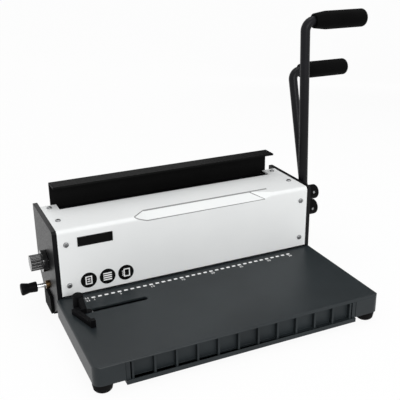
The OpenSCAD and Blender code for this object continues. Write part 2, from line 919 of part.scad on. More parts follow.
// Screw places of the cover, with z along each screw towards its head
module cover_screw_spots() {
    for (s = [-1, 1]) {
        for (z = [slot_z + screw_end - 1.5, top_z - screw_end - 3.8])
            translate([s * (half_in - screw_inset), cover_y, z])
                rotate([90, 0, 0])
                    children();
        for (y = [cover_y + screw_top_front, cover_back_y - screw_top_back])
            translate([s * (half_in - screw_inset), y, top_z])
                children();
    }
}

module cover() {
    notch_x = half_in - notch_inset;
    color("#f1f3f3")
        difference() {
            cover_block(0);
            cover_block(sheet_t);
            box([-notch_x, cover_back_y - notch_depth, sheet_z - eps],
                [notch_x, cover_back_y + eps, top_z + eps]);
            cover_screw_spots()
                translate([0, 0, -6])
                    cylinder(h = 12, r = screw_r + 0.15);
        }
}

module cover_screws() {
    color("#8b8f91")
        cover_screw_spots()
            dome_screw(screw_head_r, screw_head_h, screw_r, sheet_t + flange_t);
}

module nameplate() {
    x0 = -half_in + plate_name_inset;
    z1 = top_z - plate_name_drop;
    color("#121314")
        box([x0, cover_y - badge_t, z1 - plate_name_h], [x0 + plate_name_w, cover_y, z1]);
}

module badges() {
    color("#121314")
        for (i = [0 : 2])
            translate([-half_in + badge_inset + i * badge_pitch, cover_y, table_h + badge_rise])
                rotate([90, 0, 0])
                    cylinder(h = badge_t, r = badge_r);
}

// Screw places of the rear panel, with z along each screw towards its head
module rear_screw_spots() {
    for (s = [-1, 1])
        for (z = [table_h + rear_low, sheet_z - rear_drop])
            translate([s * (half_in - rear_in), plate_back_y - rear_set, z])
                rotate([-90, 0, 0])
                    children();
}

module rear_panel() {
    color("#2e3032")
        difference() {
            box([-half_in, plate_back_y - rear_set - rear_t, table_h - rear_lap],
                [half_in, plate_back_y - rear_set, sheet_z - rear_top]);
            rear_screw_spots()
                translate([0, 0, -4])
                    cylinder(h = 8, r = screw_r + 0.15);
        }
}

module rear_panel_screws() {
    color("#8b8f91")
        rear_screw_spots()
            dome_screw(screw_head_r, screw_head_h, screw_r, rear_t + flange_t + screw_past);
}

// Punch bed

module each_hole() {
    for (i = [0 : hole_count - 1])
        translate([i * hole_pitch - row_w / 2, hole_y, 0])
            children();
}

module square_post(side, z0, z1) {
    translate([-side / 2, -side / 2, z0])
        cube([side, side, z1 - z0]);
}

module die_bar() {
    color("#9fa4a8")
        difference() {
            union() {
                box([-half_in, cover_y, table_h - die_t], [half_in, cover_y + die_depth, table_h]);
                both_sides()
                    box([lug_in, cover_y, lug_z], [half_in, cover_y + 12, table_h - die_t / 2]);
            }
            each_hole()
                square_post(punch_side + 2 * die_gap, table_h - die_t - eps, table_h + eps);
            for (s = [-1, 1])
                translate([s * base_screw_x, cover_y + 10, base_screw_z])
                    rotate([90, 0, 0])
                        cylinder(h = 10 + eps, r = screw_r + run_gap);
        }
}

module base_screws() {
    color("#b9bcbe")
        for (s = [-1, 1])
            translate([s * base_screw_x, cover_y - table_wall, base_screw_z])
                rotate([90, 0, 0])
                    dome_screw(4, 2.4, screw_r, table_wall + 9);
}

module post_spots() {
    for (s = [-1, 1])
        translate([s * post_x, post_y, 0])
            children();
}

module stripper_bar() {
    color("#8f9498")
        difference() {
            box([-half_in, stripper_y, slot_z], [half_in, stripper_back, stripper_top]);
            each_hole()
                square_post(punch_side + 2 * punch_gap, slot_z - eps, stripper_top + eps);
            post_spots()
                translate([0, 0, stripper_top - post_seat])
                    cylinder(h = post_seat + eps, r = post_r + seat_gap);
        }
}

module guide_posts() {
    color("#c3c7ca")
        post_spots()
            translate([0, 0, stripper_top - post_seat])
                cylinder(h = post_top - stripper_top + post_seat, r = post_r);
}

module punch_carrier() {
    color("#7d8286")
        difference() {
            union() {
                box([-carrier_end, carrier_y, carrier_z], [carrier_end, carrier_back, carrier_top]);
                both_sides() {
                    translate([post_x, post_y, boss_z])
                        cylinder(h = boss_top - boss_z, r = boss_r);
                    box([carrier_end - 1, post_y - boss_r + 1, boss_z], [post_x, carrier_back, boss_top]);
                }
            }
            post_spots()
                translate([0, 0, boss_z - eps])
                    cylinder(h = boss_top - boss_z + 2 * eps, r = post_r + run_gap);
        }
}

module pin_retainer() {
    head = punch_side + 2 * (pin_head_side + 0.2);
    end = row_w / 2 + 8;
    color("#94999d")
        difference() {
            box([-end, carrier_y, retainer_z], [end, carrier_back, carrier_z]);
            each_hole() {
                square_post(punch_side + 2 * punch_gap, retainer_z - eps, carrier_z + eps);
                square_post(head, carrier_z - pin_head_h, carrier_z + eps);
            }
        }
}

module punch_pins() {
    color("#c9ccce")
        each_hole() {
            square_post(punch_side, slot_z + tip_lift, carrier_z - pin_head_h);
            square_post(punch_side + 2 * pin_head_side, carrier_z - pin_head_h, carrier_z);
        }
}

module punch_racks() {
    color("#a6abaf")
        for (s = [-1, 1])
            along_x(s * rack_x - pinion_w / 2, s * rack_x + pinion_w / 2)
                rack_outline(punch_mod, punch_rack_y, carrier_back, shaft_z - 9,
                    shaft_z + punch_stroke + 8, shaft_z);
}

module return_springs() {
    color("#d2d5d7")
        post_spots()
            coil(return_r, return_wire, return_turns, stripper_top + return_wire + 0.1,
                boss_z - return_wire - 0.1);
}
echo(return_spring_gap = coil_gap(return_r, return_wire, return_turns, stripper_top, boss_z));

module margin_stop() {
    z0 = table_h + strip_gap;
    z1 = slot_z - strip_gap;
    slot_half = pull_nose_r + pin_play;
    strip_x = lug_x + lug_t + strip_off;
    slot_y0 = control_y - slot_half - margin_travel;
    slot_y1 = control_y + slot_half;
    color("#b4b8bb") {
        box([strip_x, hole_y + strip_front, z0], [half_in - strip_end, slot_y1 + strip_web, z1]);
        box([lug_x, slot_y1 + strip_off, z0], [strip_x + strip_off, slot_y1 + strip_web, z1]);
        box([lug_x, slot_y0 - lug_side, z0], [strip_x + strip_off, slot_y0 - strip_off, z1]);
        difference() {
            box([lug_x, slot_y0 - lug_side, pull_z - lug_down],
                [lug_x + lug_t, slot_y1 + lug_side, pull_z + lug_up]);
            box([lug_x - eps, slot_y0, pull_z - slot_half],
                [lug_x + lug_t + eps, slot_y1, pull_z + slot_half]);
        }
    }
}

// Punch shaft and handle

module shaft_bush(x0, x1, flange_x0, flange_x1, y) {
    difference() {
        union() {
            rod_x(x0, x1, bush_r, y, shaft_z);
            rod_x(flange_x0, flange_x1, bush_r + 2, y, shaft_z);
        }
        rod_x(x0 - eps, x1 + eps, shaft_r + run_gap, y, shaft_z);
    }
}

module punch_bushes() {
    color("#b08a4a") {
        shaft_bush(-half_in - blind_d, -half_in + 2, -half_in, -half_in + 2, punch_y);
        shaft_bush(half_in - 2, half_out + punch_out - bar_r - 0.3, half_in - 2, half_in, punch_y);
    }
}

module closing_bushes() {
    color("#b08a4a") {
        shaft_bush(-half_in - blind_d, -half_in + 2, -half_in, -half_in + 2, closing_y);
        shaft_bush(half_in - 2, half_out, half_in - 2, half_in, closing_y);
    }
}

module closing_sleeve() {
    color("#242628")
        difference() {
            rod_x(half_out, half_out + closing_out - bar_r - 0.3, hub_r, closing_y, shaft_z);
            rod_x(half_out - eps, half_out + closing_out, shaft_r + run_gap, closing_y, shaft_z);
        }
}

module drive_shaft(out, y) {
    rod_x(-half_in - blind_d + 0.5, half_out + out + hub_out - 6, shaft_r, y, shaft_z);
}

module punch_shaft() {
    color("#b5b9bc")
        drive_shaft(punch_out, punch_y);
}

module closing_shaft() {
    color("#b5b9bc")
        drive_shaft(closing_out, closing_y);
}

module punch_pinions() {
    color("#a1a6aa")
        for (s = [-1, 1])
            difference() {
                translate([0, punch_y, shaft_z])
                    along_x(s * rack_x - pinion_w / 2, s * rack_x + pinion_w / 2)
                        gear_outline(punch_mod, punch_teeth);
                rod_x(s * rack_x - pinion_w, s * rack_x + pinion_w, shaft_r + seat_gap, punch_y, shaft_z);
            }
}

// Puts a lever, built upright on a shaft at the origin, in its resting place
module on_shaft(out, y, lean) {
    translate([half_out + out, y, shaft_z])
        rotate([-lean, 0, 0])
            children();
}

module hub_screw_spot() {
    translate([hub_out - 10, -hub_r + 0.4, 0])
        rotate([90, 0, 0])
            children();
}

module lever_hub() {
    length = bar_r + hub_out;
    bore = length - 6 + 0.3;
    difference() {
        translate([-bar_r, 0, 0])
            rotate([0, 90, 0])
                rotate_extrude()
                    union() {
                        square([hub_r, length - hub_edge_r]);
                        square([hub_r - hub_edge_r, length]);
                        translate([hub_r - hub_edge_r, length - hub_edge_r])
                            circle(hub_edge_r);
                    }
        rod_x(-bar_r - eps, -bar_r + bore, shaft_r + seat_gap, 0, 0);
        hub_screw_spot()
            translate([0, 0, -(hub_r - 0.4) + shaft_r - 0.5])
                cylinder(h = hub_r, r = screw_r + seat_gap);
    }
}

// Bar with its foot cut to sit on the hub
module lever_bar(arm) {
    difference() {
        translate([0, 0, hub_r - 4])
            cylinder(h = arm - bend_r - hub_r + 4, r = bar_r);
        rod_x(-2 * bar_r, 2 * bar_r, hub_r + seat_gap, 0, 0);
    }
    translate([bend_r, 0, arm - bend_r])
        rotate([90, 0, 0])
            rotate([0, 0, 90])
                rotate_extrude(angle = 90)
                    translate([bend_r, 0])
                        circle(bar_r);
    translate([bend_r, 0, arm])
        rotate([0, 90, 0])
            cylinder(h = grip_l - 12, r = bar_r);
}

module lever_grip(arm) {
    straight = grip_l - grip_edge_r;
    bore = bar_r + seat_gap;
    translate([bend_r, 0, arm])
        rotate([0, 90, 0])
            rotate_extrude()
                union() {
                    polygon([
                        [bore, 0],
                        [grip_neck_r, 0],
                        [grip_r, grip_taper],
                        [grip_r, straight],
                        [bore, straight]
                    ]);
                    translate([0, grip_l - 11.7])
                        square([grip_r - grip_edge_r, 11.7]);
                    translate([grip_r - grip_edge_r, straight])
                        circle(grip_edge_r);
                }
}

module hub_screw() {
    hub_screw_spot()
        translate([0, 0, -(hub_r - 0.4) + shaft_r + seat_gap])
            cylinder(h = hub_r - 0.4 - shaft_r - seat_gap - 0.3, r = screw_r);
}

module punch_hub() {
    color("#1f2021")
        on_shaft(punch_out, punch_y, punch_lean)
            lever_hub();
}

module punch_hub_screw() {
    color("#b9bcbe")
        on_shaft(punch_out, punch_y, punch_lean)
            hub_screw();
}

module punch_lever() {
    color("#242628")
        on_shaft(punch_out, punch_y, punch_lean)
            lever_bar(punch_arm);
}

module punch_grip() {
    color("#161718")
        on_shaft(punch_out, punch_y, punch_lean)
            lever_grip(punch_arm);
}

// Closing shaft and handle

module closing_sectors() {
    spare = 27;
    reach = 3 * sector_r;
    from = 180 - closing_swing - spare;
    to = 180 + spare;
    color("#a1a6aa")
        both_sides()
            translate([0, closing_y, shaft_z])
                along_x(sector_x0, sector_x1)
                    difference() {
                        union() {
                            circle(sector_hub_r);
                            intersection() {
                                gear_outline(sector_mod, sector_teeth);
                                polygon([
                                    [0, 0],
                                    reach * [cos(from), sin(from)],
                                    reach * [cos((from + to) / 2), sin((from + to) / 2)],
                                    reach * [cos(to), sin(to)]
                                ]);
                            }
                        }
                        circle(shaft_r + seat_gap);
                    }
}

module stop_arm() {
    color("#94999d")
        translate([0, closing_y, shaft_z])
            along_x(stop_x1, stop_x1 + stop_t)
                difference() {
                    union() {
                        circle(shaft_r + 3);
                        rotate(stop_at - closing_swing)
                            translate([0, -3.5])
                                square([stop_arm_l, 7]);
                    }
                    circle(shaft_r + seat_gap);
                }
}

module closing_hub() {
    color("#1f2021")
        on_shaft(closing_out, closing_y, closing_lean)
            lever_hub();
}

module closing_hub_screw() {
    color("#b9bcbe")
        on_shaft(closing_out, closing_y, closing_lean)
            hub_screw();
}

module closing_lever() {
    color("#242628")
        on_shaft(closing_out, closing_y, closing_lean)
            lever_bar(closing_arm);
}

module closing_grip() {
    color("#161718")
        on_shaft(closing_out, closing_y, closing_lean)
            lever_grip(closing_arm);
}

// Press bar and what carries it

module press_screw_spots() {
    for (s = [-1, 1])
        translate([s * sector_mid, press_y + press_t, (bracket_z0 + bracket_z1) / 2])
            rotate([-90, 0, 0])
                children();
}

module press_bar() {
    half = half_in - press_inset;
    back = press_y + press_t;
    front = press_y - press_flange;
    color("#1b1c1d")
        difference() {
            along_x(-half, half)
                difference() {
                    mirror([1, 0])
                        corner_rect([-back, press_low], [-front, press_z], press_bend_r);
                    mirror([1, 0])
                        corner_rect([-press_y, press_low - eps], [-front + eps, press_z - press_t],
                            press_bend_r - press_t);
                }
            press_screw_spots()
                translate([0, 0, -6])
                    cylinder(h = 12, r = screw_r + 0.15);
        }
}

module press_racks() {
    color("#a6abaf")
        difference() {
            both_sides()
                along_x(sector_x0, sector_x1)
                    union() {
                        rack_outline(sector_mod, press_rack_y, press_rack_back, press_rack_z0,
                            bracket_z0 + 0.5, shaft_z);
                        translate([press_rack_back, bracket_z0])
                            square([press_y - press_rack_back, bracket_z1 - bracket_z0]);
                    }
            press_screw_spots()
                translate([0, 0, -press_t - press_screw_l - screw_past])
                    cylinder(h = press_t + press_screw_l + 2 * screw_past, r = screw_r + run_gap);
        }
}

module press_screws() {
    color("#8b8f91")
        press_screw_spots()
            dome_screw(screw_head_r, screw_head_h, screw_r, press_t + press_screw_l);
}

module press_guides() {
    toe_z = press_rack_z0 - press_travel;
    color("#86898c")
        both_sides() {
            box([guide_web_x, guide_y0, spring_seat_z - spring_seat_t], [half_in, guide_y1, guide_z1]);
            box([sector_x0, guide_y0, toe_z], [half_in, guide_toe_y, guide_z1]);
            box([sector_x0, guide_y0, spring_seat_z - spring_seat_t], [half_in, guide_y1, spring_seat_z]);
        }
}

module press_springs() {
    color("#d2d5d7")
        for (s = [-1, 1])
            translate([s * sector_mid, rack_mid_y, 0])
                coil(press_spring_r, press_wire, press_turns, spring_seat_z + press_wire + 0.1,
                    press_rack_z0 - press_wire - 0.1);
}
echo(press_spring_gap = coil_gap(press_spring_r, press_wire, press_turns, spring_seat_z, press_rack_z0));

module cross_beam() {
    color("#7d8286")
        difference() {
            box([-half_in, beam_y0, beam_top - beam_h], [half_in, beam_y0 + beam_depth, beam_top]);
            anvil_screw_spots()
                translate([0, 0, -anvil_grip - screw_past])
                    cylinder(h = anvil_grip + 2 * screw_past, r = screw_r + run_gap);
        }
}

module anvil_screw_spots() {
    for (x = [-1, 0, 1])
        translate([x * (half_in - anvil_inset - 20), beam_y0 + beam_depth / 2, beam_top])
            children();
}

module anvil_plate() {
    half = half_in - anvil_inset;
    color("#2e3032")
        difference() {
            box([-half, beam_y0, beam_top], [half, anvil_back, beam_top + anvil_t]);
            anvil_screw_spots()
                translate([0, 0, -eps])
                    cylinder(h = anvil_t + 2 * eps, r = screw_r + 0.15);
        }
}

module anvil_screws() {
    color("#8b8f91")
        anvil_screw_spots()
            translate([0, 0, anvil_t])
                dome_screw(screw_head_r, screw_head_h, screw_r, anvil_t + anvil_grip);
}

module tie_rod() {
    color("#9fa4a8")
        rod_x(-half_in, half_in, tie_r, plate_back_y - leg_back + tie_in, table_h - tie_drop);
}

// Edge guide

module guide_screw_spots() {
    for (s = [-1, 1])
        translate([key_x + s * guide_screw_gap, -guide_slot_y, 0])
            children();
}

// Sloped fence with a round post at the back and a splayed arm at the front
module edge_guide() {
    z0 = table_h + slide_gap;
    ball_r = guide_post_r * 1.4;
    body_h = guide_h - (ball_r - sqrt(ball_r * ball_r - guide_post_r * guide_post_r));
    arm_from = [guide_x - arm_side, -guide_slot_y + arm_w / 3];
    arm_to = [guide_x - arm_w / 3, -guide_slot_y - arm_reach];
    arm = arm_to - arm_from;
    color("#202224")
        difference() {
            union() {
                translate([guide_post_x, guide_post_y, z0])
                    cylinder(h = body_h, r = guide_post_r);
                intersection() {
                    translate([guide_post_x, guide_post_y, z0 + guide_h - ball_r])
                        sphere(ball_r);
                    translate([guide_post_x, guide_post_y, z0 + body_h - 0.5])
                        cylinder(h = guide_h, r = guide_post_r);
                }
                along_x(guide_x - fence_w, guide_x)
                    polygon([
                        [guide_post_y, z0],
                        [guide_post_y, z0 + fence_h],
                        [guide_post_y - guide_post_r, z0 + fence_h],
                        [-guide_slot_y - fence_past, z0 + arm_h],
                        [-guide_slot_y - fence_past, z0]
                    ]);
                box([guide_x - arm_side + arm_w / 3, -guide_slot_y - key_half, z0],
                    [guide_x, -guide_slot_y + key_half, z0 + arm_h]);
                translate([arm_from[0], arm_from[1], z0])
                    rotate([0, 0, atan2(arm[1], arm[0])])
                        translate([0, -arm_w / 2, 0])
                            cube([norm(arm), arm_w, arm_h]);
                translate([arm_to[0] - arm_tip / 2, arm_to[1] - arm_tip / 2, z0])
                    cube([arm_tip, arm_tip, arm_h + arm_w / 2]);
                translate([0, -guide_slot_y, clamp_z])
                    linear_extrude(z0 - clamp_z + 0.5)
                        stadium(key_x - guide_key_l / 2, guide_key_l, key_r);
            }
            guide_screw_spots()
                translate([0, 0, clamp_z - eps])
                    cylinder(h = guide_grip + eps + 0.4, r = guide_screw_r + seat_gap);
        }
}

module guide_clamp_plate() {
    z0 = clamp_z - guide_plate_t;
    color("#9fa4a8")
        difference() {
            box([key_x - guide_key_l / 2 - 2, -guide_slot_y - guide_plate_half, z0],
                [key_x + guide_key_l / 2 + 2, -guide_slot_y + guide_plate_half, clamp_z]);
            guide_screw_spots()
                translate([0, 0, z0 - eps])
                    cylinder(h = guide_plate_t + 2 * eps, r = guide_screw_r + 0.15);
        }
}

module guide_screws() {
    color("#8b8f91")
        guide_screw_spots()
            translate([0, 0, clamp_z - guide_plate_t])
                mirror([0, 0, 1])
                    dome_screw(guide_head_r, guide_head_h, guide_screw_r, guide_plate_t + guide_grip);
}

// Controls on the left plate

module size_knob() {
    x1 = -half_out - knob_gap;
    skirt_x = x1 - knob_skirt_t;
    x0 = skirt_x - knob_l;
    color("#17181a")
        difference() {
            union() {
                rod_x(skirt_x, x1, knob_skirt_r, control_y, knob_z);
                rod_x(x0, skirt_x + eps, knob_r, control_y, knob_z);
            }
            for (i = [0 : knob_flutes - 1])
                let (a = i * 360 / knob_flutes)
                rod_x(x0 - eps, skirt_x, flute_r, control_y + (knob_r + 0.3) * cos(a),
                    knob_z + (knob_r + 0.3) * sin(a));
            rod_x(x0 + 2.5, x1 + eps, spindle_r + seat_gap, control_y, knob_z);
        }
}

module size_spindle() {
    color("#b5b9bc")
        rod_x(-half_out - knob_gap - knob_skirt_t - knob_l + 3, stop_x1 + stop_t + 2, spindle_r,
            control_y, knob_z);
}

module size_cam() {
    color("#94999d")
        translate([0, control_y, knob_z])
            along_x(stop_x1, stop_x1 + stop_t)
                difference() {
                    translate([cam_throw, 0])
                        circle(cam_r);
                    circle(spindle_r + seat_gap);
                }
}

module pull_bush() {
    color("#b08a4a")
        difference() {
            union() {
                rod_x(-half_out - pull_bush_out, pull_nut_x, pull_bush_r, control_y, pull_z);
                rod_x(-half_in, pull_nut_x, pull_bush_r + nut_wall, control_y, pull_z);
            }
            rod_x(-half_out - pull_bush_out - eps, pull_nut_x + eps, pull_r + run_gap, control_y, pull_z);
        }
}

module pull_pin() {
    x0 = -half_out - pull_out + 3;
    color("#c9ccce") {
        rod_x(x0, pull_collar_x + pull_collar_t, pull_r, control_y, pull_z);
        rod_x(pull_collar_x, pull_collar_x + pull_collar_t, pull_collar_r, control_y, pull_z);
        rod_x(pull_collar_x, pull_nose_x, pull_nose_r, control_y, pull_z);
    }
}

module pull_knob() {
    x0 = -half_out - pull_out;
    end = 3;
    bore = pull_r + seat_gap;
    color("#202224")
        translate([x0, control_y, pull_z])
            rotate([0, 90, 0])
                difference() {
                    rotate_extrude()
                        polygon([
                            [0, 0],
                            [pull_knob_r - 1, 0],
                            [pull_knob_r, 1],
                            [pull_knob_r, end],
                            [pull_waist_r, pull_knob_l / 2],
                            [pull_waist_r + 0.6, pull_knob_l - 1],
                            [pull_waist_r - 0.4, pull_knob_l],
                            [0, pull_knob_l]
                        ]);
                    translate([0, 0, 2.7])
                        cylinder(h = pull_knob_l, r = bore);
                }
}

module pin_spring() {
    color("#d2d5d7")
        translate([0, control_y, pull_z])
            rotate([0, 90, 0])
                coil(pin_spring_r, pin_wire, pin_turns, pull_nut_x + pin_wire + 0.1,
                    pull_collar_x - pin_wire - 0.1);
}
echo(pin_spring_gap = coil_gap(pin_spring_r, pin_wire, pin_turns, pull_nut_x, pull_collar_x));

place() base_shell();
place() drawer_runners();
place() front_feet();
place() foot_screws();
place() rear_feet();
place() side_plate_left();
place() side_plate_right();
place() cover();
place() cover_screws();
place() nameplate();
place() badges();
place() rear_panel();
place() rear_panel_screws();
place() die_bar();
place() base_screws();
place() stripper_bar();
place() guide_posts();
place() cross_beam();
place() anvil_plate();
place() anvil_screws();
place() tie_rod();
place() punch_bushes();
place() closing_bushes();
place() closing_sleeve();
place() press_guides();
place() pull_bush();
place() return_springs();
place() press_springs();
place() pin_spring();
place() punch_shaft();
place() punch_pinions();
place() punch_hub();
place() punch_hub_screw();
place() punch_lever();
place() punch_grip();
place() punch_carrier();
place() pin_retainer();
place() punch_pins();
place() punch_racks();
place() closing_shaft();
place() closing_sectors();
place() stop_arm();
place() closing_hub();
place() closing_hub_screw();
place() closing_lever();
place() closing_grip();
place() press_bar();
place() press_racks();
place() press_screws();
place() edge_guide();
place() guide_clamp_plate();
place() guide_screws();
place() size_knob();
place() size_spindle();
place() size_cam();
place() pull_knob();
place() pull_pin();
place() margin_stop();
place() chip_drawer();
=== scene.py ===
import json
import math

import bpy
from mathutils import Matrix, Vector

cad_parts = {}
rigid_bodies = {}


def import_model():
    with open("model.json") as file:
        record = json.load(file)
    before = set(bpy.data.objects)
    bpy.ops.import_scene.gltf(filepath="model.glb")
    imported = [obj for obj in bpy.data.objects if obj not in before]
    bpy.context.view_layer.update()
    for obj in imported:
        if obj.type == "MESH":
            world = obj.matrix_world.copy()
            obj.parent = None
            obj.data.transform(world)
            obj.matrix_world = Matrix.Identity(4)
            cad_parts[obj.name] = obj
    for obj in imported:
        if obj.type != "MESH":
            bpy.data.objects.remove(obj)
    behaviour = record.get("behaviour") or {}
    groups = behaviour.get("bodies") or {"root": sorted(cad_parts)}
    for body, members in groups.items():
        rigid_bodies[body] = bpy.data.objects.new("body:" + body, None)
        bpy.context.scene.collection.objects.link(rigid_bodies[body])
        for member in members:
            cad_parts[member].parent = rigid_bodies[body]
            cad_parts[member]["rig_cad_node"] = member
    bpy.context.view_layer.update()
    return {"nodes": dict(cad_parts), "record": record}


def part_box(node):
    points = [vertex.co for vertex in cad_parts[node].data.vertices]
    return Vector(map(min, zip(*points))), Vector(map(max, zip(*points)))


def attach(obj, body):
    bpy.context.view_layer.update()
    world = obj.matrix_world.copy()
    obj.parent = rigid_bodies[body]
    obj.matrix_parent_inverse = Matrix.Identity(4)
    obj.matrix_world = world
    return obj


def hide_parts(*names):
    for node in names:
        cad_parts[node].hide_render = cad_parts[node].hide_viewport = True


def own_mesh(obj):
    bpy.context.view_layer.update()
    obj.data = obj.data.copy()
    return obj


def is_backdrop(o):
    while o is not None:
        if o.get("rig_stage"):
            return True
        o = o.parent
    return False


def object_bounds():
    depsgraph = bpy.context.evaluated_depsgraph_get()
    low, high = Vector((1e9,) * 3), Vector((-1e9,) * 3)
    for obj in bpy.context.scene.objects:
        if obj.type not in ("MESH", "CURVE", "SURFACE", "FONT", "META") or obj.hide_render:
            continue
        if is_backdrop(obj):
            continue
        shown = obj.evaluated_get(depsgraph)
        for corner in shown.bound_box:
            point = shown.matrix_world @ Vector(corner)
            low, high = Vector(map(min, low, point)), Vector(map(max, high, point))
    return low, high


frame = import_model()

MM = 0.001

# The photo's camera: degrees, millimetres from the machine's zero, and pixels
CAMERA_YAW = 24.2536
CAMERA_DOWN = 21.277
CAMERA_ROLL = -0.7399
CAMERA_PLACE = (-324.31, -734.52, 453.47)
CAMERA_FOCUS = 684.43
PHOTO_WIDTH = 400.0
SENSOR = 36.0

# The machine, in millimetres from its zero
HOLES = 34
PITCH = 8.467
TABLE_TOP = 36.0
COVER_FRONT = 12.5
COVER_TOP = 125.8
REAR_FACE = 118.5
FRONT_SCREWS = ((-165, 52), (165, 52), (-165, 107), (165, 107))
TOP_SCREWS = ((-165, 45.5), (165, 45.5), (-165, 92.3), (165, 92.3))
REAR_SCREWS = ((-168, 54), (168, 54), (-168, 110.2), (168, 110.2))

# Screw heads, in metres and degrees
HEAD_R = 3.4 * MM
HEAD_H = 2.0 * MM
HEAD_TURNS = (12, 47, 78, 31, 63, 5, 84, 22)

# Printing, in millimetres
MARK_W = 4.8
MARK_D = 3.3
MARK_CORNER = 0.8
NUMBERED = (1, 5, 10, 15, 20, 25, 30, HOLES)
NUMBER_H = 5.6
NUMBER_Y = -6.0
END_NUMBERS = ((34, -148.0, 0.5), (23, -148.0, NUMBER_Y))
TABLE_INK = 0.05
SIGN_INK = 0.06
SIGN_X = (-140.5, -116.3, -92.1)
SIGN_Z = 54.2
BADGE_T = 0.6

# Mesh limits, in millimetres and degrees
WELD = 0.005
SLIVER = 0.001
FLAT = 0.4
SHARP = 32.0

# The machine's own zero: middle of the hole row, on the line of printed marks, at the floor
cover_low, cover_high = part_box("cover")
ZERO = Vector(((cover_low.x + cover_high.x) / 2, cover_low.y - COVER_FRONT * MM, 0.0))


def spot(x, y, z):
    """A place on the machine, in millimetres from its zero, as a point in the scene."""
    return ZERO + Vector((x, y, z)) * MM


# Camera, floor and light

def set_camera():
    yaw, down, roll = (math.radians(angle) for angle in (CAMERA_YAW, CAMERA_DOWN, CAMERA_ROLL))
    ahead = Vector((math.sin(yaw) * math.cos(down), math.cos(yaw) * math.cos(down), -math.sin(down)))
    right = Vector((math.cos(yaw), -math.sin(yaw), 0.0))
    up = right.cross(ahead)
    side = right * math.cos(roll) + up * math.sin(roll)
    top = up * math.cos(roll) - right * math.sin(roll)
    turn = Matrix((side, top, -ahead)).transposed().to_4x4()
    bpy.ops.object.camera_add()
    camera = bpy.context.active_object
    camera.name = "photo_camera"
    camera.matrix_world = Matrix.Translation(spot(*CAMERA_PLACE)) @ turn
    camera.data.sensor_width = SENSOR
    camera.data.lens = CAMERA_FOCUS * SENSOR / PHOTO_WIDTH
    camera.data.clip_start = 0.05
    camera.data.clip_end = 30.0
    bpy.context.scene.camera = camera


def seen_directly(nodes, links):
    """One for rays from the camera, from gloss and through glass, and nought for the rest."""
    rays = nodes.new("ShaderNodeLightPath")
    mirrored = nodes.new("ShaderNodeMath")
    mirrored.operation = "MAXIMUM"
    either = nodes.new("ShaderNodeMath")
    either.operation = "MAXIMUM"
    links.new(rays.outputs["Is Glossy Ray"], mirrored.inputs[0])
    links.new(rays.outputs["Is Transmission Ray"], mirrored.inputs[1])
    links.new(rays.outputs["Is Camera Ray"], either.inputs[0])
    links.new(mirrored.outputs[0], either.inputs[1])
    return either.outputs[0]


def open_floor(nodes, links):
    """How much of the floor's white shows: all of it but a little, and none under the machine."""
    middle = spot(7.0, 0.0, 0.0)
    half_x, half_y = 0.168, 0.105
    fade_from, most = 0.8, 0.93
    coords = nodes.new("ShaderNodeTexCoord")
    under = nodes.new("ShaderNodeMapping")
    under.inputs["Location"].default_value = (-middle.x / half_x, -middle.y / half_y, 0.0)
    under.inputs["Scale"].default_value = (1 / half_x, 1 / half_y, 0.0)
    size = nodes.new("ShaderNodeVectorMath")
    size.operation = "ABSOLUTE"
    sides = nodes.new("ShaderNodeSeparateXYZ")
    far = nodes.new("ShaderNodeMath")
    far.operation = "MAXIMUM"
    fade = nodes.new("ShaderNodeMapRange")
    fade.inputs["From Min"].default_value = fade_from
    fade.inputs["From Max"].default_value = 1.0
    fade.inputs["To Max"].default_value = most
    links.new(coords.outputs["Object"], under.inputs["Vector"])
    links.new(under.outputs["Vector"], size.inputs[0])
    links.new(size.outputs["Vector"], sides.inputs["Vector"])
    links.new(sides.outputs["X"], far.inputs[0])
    links.new(sides.outputs["Y"], far.inputs[1])
    links.new(far.outputs[0], fade.inputs["Value"])
    return fade.outputs["Result"]


